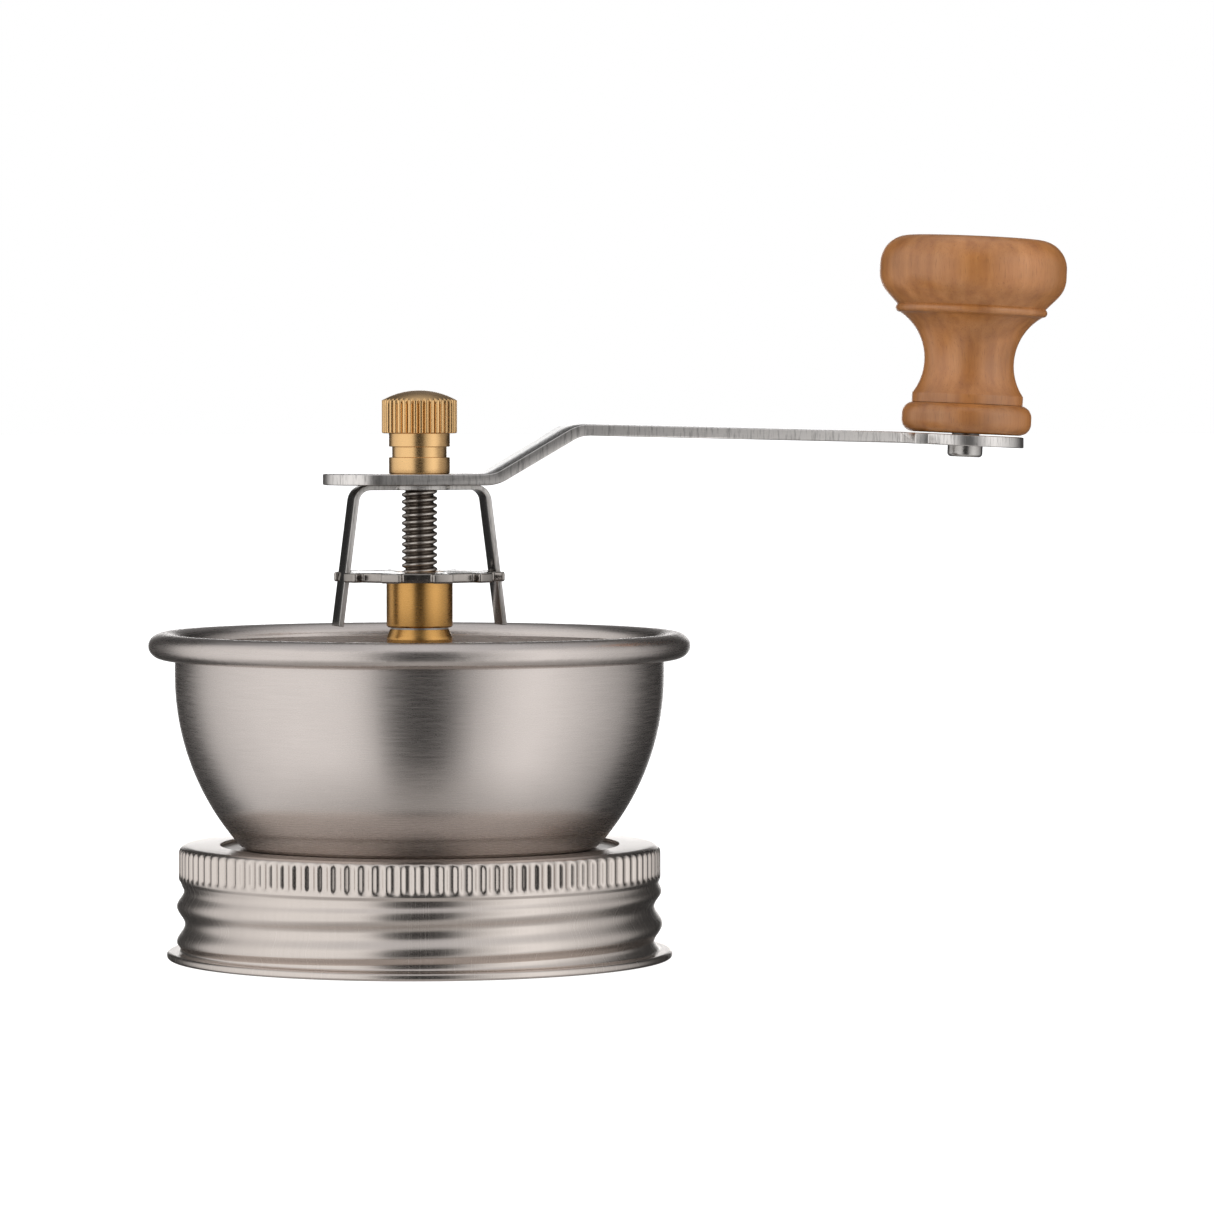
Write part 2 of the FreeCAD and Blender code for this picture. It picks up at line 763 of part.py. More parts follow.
def grip_knob():
    well = disc(knob_well_radius, grip_gap + knob_seat_height, reach)
    bore = disc(axle_radius + running_fit, 0, reach)
    return grip_place(knob_blank().cut([well, bore]))


def grip_plug():
    plug = disc(knob_well_radius - running_fit, grip_gap + knob_plug_height, reach)
    return grip_place(knob_blank().common(plug))


def grip_washer():
    bottom = grip_gap + knob_seat_height
    return grip_place(ring(axle_radius + running_fit, knob_well_radius - bolt_fit,
                           bottom, bottom + grip_washer_thickness))


def grip_axle():
    head_bottom = grip_gap + knob_seat_height + grip_washer_thickness + seat_gap
    head = disc(axle_head_radius, head_bottom, head_bottom + axle_head_height)
    shank = disc(axle_radius, -arm_thickness, head_bottom)
    low = -arm_thickness - axle_rivet_height
    rivet = turned([(0, low), (axle_rivet_radius, low, axle_rivet_round),
                    (axle_rivet_radius, -arm_thickness), (0, -arm_thickness)])
    return grip_place(shank.fuse([head, rivet]).removeSplitter())


pieces = [
    hopper_bowl, screw_band, lid_disc, jar_seal, burr_housing, outer_burr, inner_burr, bearing_bridge,
    bearing_bush, bush_nut, hopper_screws, hopper_nuts, thrust_washer, spring_washer, burr_spring, spindle,
    burr_washer, burr_nut, adjuster_nut, star_wheel, lock_clip, crank_arm, cap_nut, grip_knob, grip_plug,
    grip_washer, grip_axle,
]

os.makedirs("parts", exist_ok=True)
for piece in pieces:
    piece().exportStep(f"parts/{piece.__name__}.step")
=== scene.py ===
import json
import math

import bmesh
import bpy
from mathutils import Matrix, Vector


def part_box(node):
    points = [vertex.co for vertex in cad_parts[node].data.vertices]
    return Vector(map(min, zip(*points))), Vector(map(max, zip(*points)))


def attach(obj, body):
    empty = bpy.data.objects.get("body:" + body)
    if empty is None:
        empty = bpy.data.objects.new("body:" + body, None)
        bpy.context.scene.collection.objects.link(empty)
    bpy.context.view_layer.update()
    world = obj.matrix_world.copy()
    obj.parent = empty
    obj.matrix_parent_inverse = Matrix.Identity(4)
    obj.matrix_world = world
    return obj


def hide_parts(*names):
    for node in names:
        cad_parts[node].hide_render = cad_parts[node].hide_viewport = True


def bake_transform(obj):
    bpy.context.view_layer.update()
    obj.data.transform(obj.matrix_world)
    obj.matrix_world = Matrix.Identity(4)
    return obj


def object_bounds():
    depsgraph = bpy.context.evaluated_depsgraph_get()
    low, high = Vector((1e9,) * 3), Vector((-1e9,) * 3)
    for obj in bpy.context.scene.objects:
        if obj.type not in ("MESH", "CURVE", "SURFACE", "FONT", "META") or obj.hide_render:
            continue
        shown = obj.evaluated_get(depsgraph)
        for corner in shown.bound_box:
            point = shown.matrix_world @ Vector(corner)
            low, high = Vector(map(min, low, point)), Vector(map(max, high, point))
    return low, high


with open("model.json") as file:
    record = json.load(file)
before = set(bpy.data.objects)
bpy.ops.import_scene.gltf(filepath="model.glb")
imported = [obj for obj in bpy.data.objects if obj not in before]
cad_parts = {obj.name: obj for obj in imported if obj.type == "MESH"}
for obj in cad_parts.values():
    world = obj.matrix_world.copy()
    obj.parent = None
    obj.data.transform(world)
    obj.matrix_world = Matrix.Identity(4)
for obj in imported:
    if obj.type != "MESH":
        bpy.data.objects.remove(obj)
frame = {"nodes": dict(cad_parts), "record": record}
cad_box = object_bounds()

MM = 0.001
FULL_TURN = 2 * math.pi
tiny = 0.001 * MM
record = frame["record"]
body_of = {node: body for body, nodes in record["behaviour"]["bodies"].items() for node in nodes}
slot_of = {part["node"]: part["material_slot"] for part in record["subparts"]}

# Screw band: rolled sheet with a pressed grip, a helical thread and a hemmed foot
band_wall = 0.55 * MM
band_opening = 35.9 * MM
band_skirt = 43.3 * MM
band_neck = 42.925 * MM
band_top_round = 1.5 * MM
band_grip_low = 14.3 * MM
band_step = 0.6 * MM
band_step_round = 0.6 * MM
band_inner_step = 1.0 * MM
band_foot_round = 0.5 * MM
band_hem_height = 1.4 * MM
band_hem_width = 2.9 * MM
band_hem_round = 0.62 * MM
thread_lead = 6.35 * MM
thread_height = 0.725 * MM
thread_crest = 6.33 * MM
thread_run_in = (1.5 * MM, 2.9 * MM)
thread_run_out = (11.6 * MM, 14.0 * MM)
pocket_count = 108
pocket_width = 1.95 * MM
pocket_low = 14.75 * MM
pocket_high = 19.8 * MM
pocket_round = 0.6 * MM
pocket_depth = 0.48 * MM
pocket_edge = 0.5 * MM

# Threads of spindle and screws: where a flank begins and ends, from hollow to crest
thread_flank = (0.05, 0.8)

# Spindle
spindle_radius = 3.175 * MM
spindle_flats = 4.8 * MM
spindle_pitch = 1.27 * MM
spindle_thread_depth = 0.66 * MM
spindle_thread_low = 57.0 * MM
stud_radius = 2.4 * MM
clip_thickness = 0.9 * MM
arm_thickness = 2.0 * MM
seat_gap = 0.02 * MM

# Cap nut
cap_radius = 5.475 * MM
cap_groove_radius = 4.9 * MM
cap_groove_low = 2.95 * MM
cap_groove_high = 4.85 * MM
cap_body_height = 7.25 * MM
cap_knurl_height = 5.9 * MM
cap_dome_height = 1.8 * MM
cap_flute_count = 40
cap_flute_depth = 0.42 * MM
cap_flute_start = 0.35
cap_chamfer = 0.3 * MM
cap_edge = 0.12 * MM
cap_roof = 4.6 * MM
running_fit = 0.05 * MM

# Fasteners
screw_radius = 2.0 * MM
screw_head_radius = 3.8 * MM
screw_head_height = 2.3 * MM
screw_head_round = 1.38 * MM
screw_circle = 25.0 * MM
screw_pitch = 0.7 * MM
screw_thread_depth = 0.35 * MM
strap_thickness = 2.0 * MM
recess_width = 1.0 * MM
recess_length = 4.2 * MM
recess_depth = 1.3 * MM
recess_edge = 0.12 * MM
recess_taper = 0.5 * MM
nut_face_share = 0.96
nut_size = 7.0 * MM
bush_nut_size = 12.0 * MM
bush_thread_radius = 4.9 * MM
burr_nut_size = 8.0 * MM

# Knob: heights are above its base
knob_bore = 2.55 * MM
knob_well = 5.5 * MM
knob_seat = 26.5 * MM
knob_base_radius = 11.8 * MM
knob_base_height = 5.45 * MM
knob_base_round = 2.2 * MM
knob_collar_radius = 10.1 * MM
knob_collar_top = 7.05 * MM
knob_collar_round = 0.45 * MM
knob_waist_radius = 8.15 * MM
knob_waist_height = 13.0 * MM
knob_cove_radius = 12.95 * MM
knob_cove_height = 21.6 * MM
knob_bead_radius = 13.8 * MM
knob_bead_height = 22.3 * MM
knob_bead_top_radius = 13.5 * MM
knob_bead_top = 23.05 * MM
knob_bulb_radius = 17.0 * MM
knob_bulb_corner = 26.7 * MM
knob_bulb_round = 5.2 * MM
knob_crown = 0.26 * MM

# Burr spring
spring_radius = 4.75 * MM
spring_wire = 0.55 * MM
spring_turns = 5

# Rounded edges of pieces cut from strip or plate
arm_edge = 0.22 * MM
clip_edge = 0.14 * MM
wheel_edge = 0.3 * MM
bridge_edge = 0.25 * MM

# Edge angles in degrees: flatter ones are dissolved, sharper ones rounded, and over the last shading breaks
dissolved_below = 0.3
rounded_above = 30
shading_break = 40

# Mesh fineness: steps along an outline, rows of points, and points round a turn
band_outside_step = 0.46 * MM
band_inside_step = 0.6 * MM
cap_step = 0.8 * MM
screw_head_step = 0.25 * MM
cap_dome_rows = 14
spindle_thread_rows = 14
screw_thread_rows = 8
nut_corner_rows = 4
knob_cove_rows = 24
knob_bead_rows = 8
pocket_points = 8
cap_flute_points = 10
spindle_points = 72
screw_points = 64
nut_points = 96
knob_points = 160
spring_points = 48
spring_wire_points = 12

# Colours of metal, and tones of wood grain and of a thread from dark to light
steel = (0.615, 0.558, 0.527)
brass = (0.68, 0.37, 0.115)
wood_tones = [(0.22, (0.26, 0.092, 0.023)), (0.5, (0.365, 0.145, 0.040)), (0.78, (0.45, 0.195, 0.063))]
thread_tones = [(0.0, (0.19, 0.16, 0.135)), (0.6, (0.40, 0.355, 0.315)), (1.0, (0.56, 0.515, 0.47))]

# Brushed lines: what a step outwards counts for beside a step up
outward_weight = 0.83

# Colour sockets of a Mix node
MIX_FIRST, MIX_SECOND, MIX_RESULT = 6, 7, 2

# Camera: where the photograph was taken from, in degrees and metres
camera_azimuth = -9.0
camera_distance = 1.070
camera_height = 0.1021
aim_sideways = 0.03366
aim_height = 0.0630
image_width = 1214
focal_pixels = 5960.0

# Surroundings: levels at degrees to the right of the camera, or at heights from 0, below, to 1, above
soft_boxes = [
    (-180, 0.2), (-160, 0.03), (-135, 0.03), (-117, 0.8), (-75, 1.1), (-22, 1.15), (-14, 0.02),
    (18.9, 0.02), (20.4, 0.5), (38, 1.0), (58, 1.3), (88, 0.8), (114, 0.48), (131, 0.03), (160, 0.03),
    (180, 0.2),
]
backdrop_reach = [(-180, 1.0), (-173, 1.0), (-166, 0.0), (166, 0.0), (173, 1.0), (180, 1.0)]
backdrop_rise = [(0.42, 0.0), (0.46, 1.0), (0.555, 1.0), (0.578, 0.0)]
backdrop_colour = (3.2, 3.2, 3.2)
ground_share = [(0.05, 1.0), (0.22, 0.0)]
ground_colour = (0.5, 0.49, 0.48)
ceiling_share = [(0.8, 0.0), (0.96, 1.0)]
ceiling_colour = (0.75, 0.76, 0.78)
floor_half = 12.0
floor_gap = 0.1 * MM
floor_glow = 0.75


def smooth_step(low, high, value):
    """0 up to low, 1 from high on, and a smooth rise between them."""
    share = min(max((value - low) / (high - low), 0.0), 1.0)
    return share * share * (3 - 2 * share)


def rounded(corners, step=0.2):
    """Points along an open outline of (radius, z) or (radius, z, rounding) corners.

    Points on a rounding are at most a step apart, in radians.
    """
    points = []
    for index, corner in enumerate(corners):
        here = Vector(corner[:2])
        if len(corner) < 3:
            points.append(here)
            continue
        before = (Vector(corners[index - 1][:2]) - here).normalized()
        after = (Vector(corners[index + 1][:2]) - here).normalized()
        half = before.angle(after) / 2
        centre = here + (before + after).normalized() * (corner[2] / math.sin(half))
        first = here + before * (corner[2] / math.tan(half)) - centre
        last = here + after * (corner[2] / math.tan(half)) - centre
        sweep = math.pi - 2 * half
        count = max(2, math.ceil(sweep / step))
        for stop in range(count + 1):
            share = stop / count
            first_weight = math.sin((1 - share) * sweep) / math.sin(sweep)
            last_weight = math.sin(share * sweep) / math.sin(sweep)
            points.append(centre + first * first_weight + last * last_weight)
    return points


def arc(first, middle, last, steps):
    """Points along the arc through three points."""
    to_middle, to_last = middle - first, last - first
    double_area = to_middle.cross(to_last)
    lean = to_last * to_middle.length_squared - to_middle * to_last.length_squared
    centre = first + lean.orthogonal() / (-2 * double_area)
    spokes = [point - centre for point in (first, middle, last)]
    sweep = spokes[0].angle_signed(spokes[1]) + spokes[1].angle_signed(spokes[2])
    return [centre + Matrix.Rotation(-sweep * step / steps, 2) @ spokes[0] for step in range(steps + 1)]


def divided(points, step):
    """The same outline with extra points where its stretches are longer than a step."""
    slack = 1e-6
    finer = [points[0]]
    for before, after in zip(points, points[1:]):
        count = max(1, math.ceil((after - before).length / step - slack))
        finer += [before.lerp(after, stop / count) for stop in range(1, count + 1)]
    return finer


def turned(outline, segments, shape=None, closed=False, place=None):
    """Mesh data of an outline turned about Z.

    A closed outline makes a ring; an open one begins and ends on the axis. The function shape
    takes an angle, a radius and a height and gives the radius and height that a point really has.
    """
    verts, faces, rows = [], [], []
    for point in outline:
        radius, height = point
        if radius < tiny:
            rows.append([len(verts)] * segments)
            verts.append(Vector((0, 0, height)))
            continue
        rows.append(list(range(len(verts), len(verts) + segments)))
        for segment in range(segments):
            angle = FULL_TURN * segment / segments
            r, z = shape(angle, radius, height) if shape else (radius, height)
            verts.append(Vector((r * math.cos(angle), r * math.sin(angle), z)))
    pairs = list(zip(rows, rows[1:]))
    if closed:
        pairs.append((rows[-1], rows[0]))
    for first, second in pairs:
        for segment in range(segments):
            following = (segment + 1) % segments
            face = [first[segment], first[following], second[following], second[segment]]
            faces.append(list(dict.fromkeys(face)))
    if place:
        verts = [place @ vert for vert in verts]
    return verts, faces


def mesh_of(name, parts, sharp=shading_break):
    """One smooth mesh from several (verts, faces), with edges over an angle in degrees left sharp."""
    verts, faces = [], []
    for part_verts, part_faces in parts:
        start = len(verts)
        verts += part_verts
        faces += [[start + corner for corner in face] for face in part_faces]
    mesh = bpy.data.meshes.new(name)
    mesh.from_pydata(verts, [], faces)
    edit = bmesh.new()
    edit.from_mesh(mesh)
    bmesh.ops.recalc_face_normals(edit, faces=edit.faces)
    edit.to_mesh(mesh)
    edit.free()
    mesh.shade_smooth()
    mesh.set_sharp_from_angle(angle=math.radians(sharp))
    return mesh


def add_piece(name, mesh, node, material, rides=True):
    """Puts a mesh in the scene in place of a CAD node."""
    piece = bpy.data.objects.new(name, mesh)
    bpy.context.collection.objects.link(piece)
    mesh.materials.clear()
    mesh.materials.append(material)
    if rides:
        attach(piece, body_of[node])
    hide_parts(node)
    return piece


def eased(name, node, width, material, segments=3):
    """A piece with a CAD node's form and its sharp edges rounded off."""
    edit = bmesh.new()
    edit.from_mesh(frame["nodes"][node].data)
    bmesh.ops.remove_doubles(edit, verts=edit.verts, dist=tiny)
    bmesh.ops.dissolve_limit(edit, angle_limit=math.radians(dissolved_below), verts=edit.verts,
                             edges=edit.edges)
    corner = math.radians(rounded_above)
    sharp = [edge for edge in edit.edges if edge.is_manifold and edge.calc_face_angle() > corner]
    bmesh.ops.bevel(edit, geom=sharp, offset=width, segments=segments, profile=0.5, affect="EDGES",
                    clamp_overlap=False)
    mesh = bpy.data.meshes.new(name)
    edit.to_mesh(mesh)
    edit.free()
    mesh.shade_smooth()
    mesh.set_sharp_from_angle(angle=math.radians(shading_break))
    add_piece(name, mesh, node, material)


class Shading:
    """A node tree whose nodes are added one at a time."""

    def __init__(self, tree):
        self.tree = tree

    def node(self, kind, inputs=None, **settings):
        node = self.tree.nodes.new("ShaderNode" + kind)
        for setting, value in settings.items():
            setattr(node, setting, value)
        for socket, value in (inputs or {}).items():
            if isinstance(value, bpy.types.NodeSocket):
                self.tree.links.new(value, node.inputs[socket])
            else:
                node.inputs[socket].default_value = value
        return node

    def math(self, operation, first, second=0.0):
        return self.node("Math", {0: first, 1: second}, operation=operation).outputs[0]

    def ramp(self, value, *stops):
        """Colour ramp through (position, grey or colour) stops."""
        node = self.node("ValToRGB", {"Fac": value})
        elements = node.color_ramp.elements
        while len(elements) < len(stops):
            elements.new(1.0)
        for element, (position, colour) in zip(elements, stops):
            element.position = position
            element.color = (*colour, 1.0) if isinstance(colour, tuple) else (colour, colour, colour, 1.0)
        return node.outputs["Color"]

    def mixed(self, share, first, second, blend="MIX"):
        """A share of the second colour over the first."""
        node = self.node("Mix", {"Factor": share}, data_type="RGBA", blend_type=blend)
        for socket, value in ((MIX_FIRST, first), (MIX_SECOND, second)):
            if isinstance(value, bpy.types.NodeSocket):
                self.tree.links.new(value, node.inputs[socket])
            else:
                node.inputs[socket].default_value = (*value, 1.0)
        return node.outputs[MIX_RESULT]


class Finish(Shading):
    """A principled material."""

    def __init__(self, name, **values):
        self.material = bpy.data.materials.new(name)
        self.material.use_nodes = True
        super().__init__(self.material.node_tree)
        self.surface = self.tree.nodes["Principled BSDF"]
        for socket, value in values.items():
            self.surface.inputs[socket.replace("_", " ")].default_value = value

    def drive(self, socket, value):
        self.tree.links.new(value, self.surface.inputs[socket])

    def place(self):
        return self.node("TexCoord").outputs["Object"]

    def stretched(self, scales):
        """Object coordinates in metres, each times its own scale."""
        product = self.node("VectorMath", {0: self.place(), 1: scales}, operation="MULTIPLY")
        return product.outputs["Vector"]

    def circling(self, around, along):
        """Coordinates about Z with no seam: scales for going round and for moving along the outline."""
        flat = self.node("VectorMath", {0: self.place(), 1: (1, 1, 0)}, operation="MULTIPLY")
        radial = self.node("VectorMath", {0: flat.outputs["Vector"]}, operation="NORMALIZE")
        radius = self.node("VectorMath", {0: flat.outputs["Vector"]}, operation="LENGTH")
        ring = self.node("VectorMath", {0: radial.outputs["Vector"], "Scale": around}, operation="SCALE")
        height = self.node("SeparateXYZ", {0: self.place()}).outputs["Z"]
        outward = self.math("MULTIPLY", radius.outputs["Value"], outward_weight)
        travel = self.math("ADD", outward, height)
        lift = self.node("CombineXYZ", {"Z": self.math("MULTIPLY", travel, along)})
        total = self.node("VectorMath", {0: ring.outputs["Vector"], 1: lift.outputs["Vector"]},
                          operation="ADD")
        return total.outputs["Vector"]

    def noise(self, vector, scale=1.0, detail=3.0, roughness=0.5):
        inputs = {"Vector": vector, "Scale": scale, "Detail": detail, "Roughness": roughness}
        return self.node("TexNoise", inputs).outputs["Fac"]

    def bump(self, height, strength, distance):
        inputs = {"Height": height, "Strength": strength, "Distance": distance}
        self.drive("Normal", self.node("Bump", inputs).outputs["Normal"])

    def brush(self, lines, clouds, colour, roughness, streak, blotch, depth):
        """Colour, gloss and relief of brushed metal, from its lines and its cloudy patches."""
        shade = self.ramp(lines, (0.25, tint(colour, 1 - streak)), (0.75, tint(colour, 1 + streak)))
        patches = self.ramp(clouds, (0.3, 1 - blotch), (0.7, 1.0))
        self.drive("Base Color", self.mixed(1.0, shade, patches, "MULTIPLY"))
        self.drive("Roughness", self.ramp(lines, (0.2, roughness - 0.05), (0.8, roughness + 0.06)))
        self.bump(lines, 0.25, depth * MM)


def tint(colour, factor):
    """A colour made darker or lighter."""
    return tuple(channel * factor for channel in colour)


def spun_metal(name, colour, roughness, streak=0.06, around=6.0, along=3800.0, blotch=0.06, depth=0.004):
    """Metal brushed or turned about Z: fine lines that run round the axis, with soft cloudy patches."""
    finish = Finish(name, Metallic=1.0, Anisotropic=0.45)
    lines = finish.noise(finish.circling(around, along), detail=5.0, roughness=0.65)
    clouds = finish.noise(finish.place(), scale=70.0, detail=4.0)
    finish.drive("Tangent", finish.node("Tangent", direction_type="RADIAL", axis="Z").outputs[0])
    finish.brush(lines, clouds, colour, roughness, streak, blotch, depth)
    return finish.material


def drawn_metal(name, colour, roughness, scales, streak=0.07, blotch=0.07, depth=0.004):
    """Metal with straight lines: object coordinates are stretched by scales, smallest along the lines."""
    finish = Finish(name, Metallic=1.0)
    lines = finish.noise(finish.stretched(scales), detail=5.0, roughness=0.65)
    clouds = finish.noise(finish.place(), scale=110.0, detail=4.0)
    finish.brush(lines, clouds, colour, roughness, streak, blotch, depth)
    return finish.material


def sheared_metal(name, colour, face_roughness, edge_roughness, scales, across):
    """Metal cut from strip: satin faces, and edges with upright shear marks where it faces across."""
    finish = Finish(name, Metallic=1.0)
    facing = finish.node("VectorMath", {0: finish.node("TexCoord").outputs["Normal"], 1: across},
                         operation="MULTIPLY").outputs["Vector"]
    share = finish.node("VectorMath", {0: facing}, operation="LENGTH").outputs["Value"]
    edge = finish.ramp(share, (0.6, 0.0), (0.84, 1.0))
    lines = finish.noise(finish.stretched(scales), detail=5.0, roughness=0.65)
    nicks = finish.noise(finish.stretched((2400.0, 2400.0, 260.0)), detail=5.0, roughness=0.7)
    shade = finish.ramp(lines, (0.25, tint(colour, 0.93)), (0.75, tint(colour, 1.07)))
    marks = finish.ramp(nicks, (0.3, 0.5), (0.5, 1.0))
    worn = finish.mixed(1.0, marks, tint(colour, 1.25), "MULTIPLY")
    finish.drive("Base Color", finish.mixed(edge, shade, worn))
    finish.drive("Roughness", finish.ramp(edge, (0.0, face_roughness), (1.0, edge_roughness)))
    finish.bump(finish.math("MULTIPLY", nicks, edge), 0.35, 0.03 * MM)
    return finish.material


def fruitwood(name):
    """Oiled close-grained wood: grain along the knob, faint cross figure and small pores."""
    finish = Finish(name, Coat_Weight=0.3, Coat_Roughness=0.25)
    grain = finish.noise(finish.stretched((420.0, 420.0, 26.0)), detail=6.0, roughness=0.6)
    figure = finish.noise(finish.stretched((60.0, 60.0, 110.0)), detail=3.0)
    pores = finish.noise(finish.stretched((5200.0, 5200.0, 420.0)), detail=2.0)
    base = finish.ramp(grain, *wood_tones)
    shaded = finish.mixed(1.0, base, finish.ramp(figure, (0.3, 0.72), (0.7, 1.1)), "MULTIPLY")
    pitted = finish.mixed(1.0, shaded, finish.ramp(pores, (0.28, 0.72), (0.42, 1.0)), "MULTIPLY")
    finish.drive("Base Color", pitted)
    finish.drive("Roughness", finish.ramp(grain, (0.2, 0.42), (0.8, 0.3)))
    finish.bump(pores, 0.2, 0.02 * MM)
    return finish.material


def threaded_steel(name):
    """Dark rolled steel, darker brown in the hollows and brighter on the crests."""
    finish = Finish(name, Metallic=1.0)
    flat = finish.node("VectorMath", {0: finish.place(), 1: (1, 1, 0)}, operation="MULTIPLY")
    radius = finish.node("VectorMath", {0: flat.outputs["Vector"]}, operation="LENGTH").outputs["Value"]
    crest = finish.node("MapRange", {"Value": radius, "From Min": spindle_radius - spindle_thread_depth,
                                     "From Max": spindle_radius}).outputs["Result"]
    specks = finish.noise(finish.place(), scale=1500.0, detail=4.0)
    # Colour runs from dark at the bottom of the thread hollows to light on the crests, by radius alone
    colour = finish.ramp(crest, *thread_tones)
    stains = finish.ramp(specks, (0.3, 0.75), (0.7, 1.0))
    finish.drive("Base Color", finish.mixed(1.0, colour, stains, "MULTIPLY"))
    finish.drive("Roughness", finish.ramp(specks, (0.3, 0.42), (0.7, 0.3)))
    finish.bump(specks, 0.15, 0.01 * MM)
    return finish.material


def speckled(name, colour, roughness, scale=900.0, spread=0.1, depth=0.01, **values):
    """Ceramic, plastic, rubber or stamped metal with a fine grain."""
    finish = Finish(name, **values)
    grain = finish.noise(finish.place(), scale=scale, detail=5.0, roughness=0.6)
    shade = finish.ramp(grain, (0.3, tint(colour, 1 - spread)), (0.7, tint(colour, 1 + spread)))
    finish.drive("Base Color", shade)
    finish.drive("Roughness", finish.ramp(grain, (0.3, roughness - 0.06), (0.7, roughness + 0.06)))
    finish.bump(grain, 0.3, depth * MM)
    return finish.material


finishes = {
    "bowl_steel": spun_metal("spun bowl steel", steel, 0.27),
    "lid_steel": spun_metal("rolled lid steel", (0.63, 0.58, 0.545), 0.3),
    "band_steel": spun_metal("rolled band steel", (0.65, 0.587, 0.543), 0.24, around=420.0, along=60.0,
                             depth=0.002),
    "bridge_steel": drawn_metal("brushed strap steel", (0.58, 0.565, 0.55), 0.32, (4000.0, 120.0, 120.0)),
    "crank_steel": sheared_metal("crank steel", (0.60, 0.575, 0.555), 0.24, 0.32, (300.0, 2600.0, 2600.0),
                                 across=(1, 1, 0)),
    "clip_steel": sheared_metal("clip steel", (0.56, 0.54, 0.52), 0.16, 0.5, (1500.0, 1500.0, 90.0),
                                across=(0, 1, 0)),
    "wheel_steel": speckled("stamped wheel steel", (0.37, 0.34, 0.315), 0.24, scale=700.0, Metallic=1.0),
    "spring_steel": drawn_metal("polished spring steel", (0.56, 0.545, 0.53), 0.16, (1500.0, 1500.0, 90.0)),
    "dark_steel": threaded_steel("dark thread steel"),
    "bright_steel": speckled("plated steel", (0.52, 0.5, 0.48), 0.3, scale=800.0, Metallic=1.0),
    "turned_brass": spun_metal("turned brass", brass, 0.28, streak=0.09, along=6500.0, blotch=0.14),
    "cap_brass": spun_metal("pale brass", (0.86, 0.545, 0.25), 0.26, streak=0.08, along=6500.0, blotch=0.12),
    "knob_wood": fruitwood("fruitwood"),
    "burr_ceramic": speckled("burr ceramic", (0.80, 0.78, 0.735), 0.5, spread=0.03),
    "housing_plastic": speckled("moulded nylon", (0.028, 0.028, 0.03), 0.46, scale=1400.0),
    "seal_rubber": speckled("seal rubber", (0.62, 0.60, 0.56), 0.55, spread=0.04),
}


def screw_band():
    """Sheet band turned from its outline, then pressed with grip pockets and a right-hand thread."""
    low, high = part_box("screw_band")
    foot, top, rim = low.z, high.z, high.x
    inner = rim - band_hem_width
    inner_neck, inner_skirt = band_neck - band_wall, band_skirt - band_wall
    outside = rounded([
        (band_opening, top), (band_skirt, top, band_top_round), (band_skirt, band_grip_low, band_step_round),
        (band_neck, band_grip_low - band_step, band_step_round),
        (band_neck, band_hem_height, band_foot_round), (rim, band_hem_height, band_hem_round),
        (rim, foot, band_hem_round), (inner, foot),
    ], step=0.3)
    inside = rounded([
        (inner, foot), (inner_neck, foot + 2 * band_wall), (inner_neck, band_grip_low - band_inner_step),
        (inner_skirt, band_grip_low), (inner_skirt, top - band_wall, band_top_round - band_wall),
        (band_opening, top - band_wall),
    ], step=0.4)
    outline = outside[:1] + divided(outside[1:], band_outside_step)
    outline += divided(inside[:-1], band_inside_step)[1:] + inside[-1:]
    pocket_pitch = FULL_TURN / pocket_count * band_skirt
    half_height = (pocket_high - pocket_low) / 2

    def pressed(angle, radius, height):
        if radius < band_neck - 2 * band_wall:
            return radius, height
        turns = (height - thread_crest) / thread_lead - angle / FULL_TURN
        fade = smooth_step(*thread_run_in, height) * (1 - smooth_step(*thread_run_out, height))
        radius += thread_height * math.cos(FULL_TURN * turns) * fade
        across = abs((angle * pocket_count / FULL_TURN + 0.5) % 1 - 0.5) * pocket_pitch
        past_side = across - pocket_width / 2 + pocket_round
        past_end = abs(height - pocket_low - half_height) - half_height + pocket_round
        outside_by = math.hypot(max(past_side, 0), max(past_end, 0)) - pocket_round
        outside_by += min(max(past_side, past_end), 0)
        return radius - pocket_depth * smooth_step(0, pocket_edge, -outside_by), height

    sheet = turned(outline, pocket_points * pocket_count, pressed, closed=True)
    mesh = mesh_of("screw_band_rolled", [sheet], sharp=60)
    add_piece("screw_band_rolled", mesh, "screw_band", finishes["band_steel"])


def thread_wave(phase):
    """0 in a thread's hollow and 1 on its crest, which is the wider of the two."""
    return smooth_step(*thread_flank, abs(2 * (phase % 1) - 1))


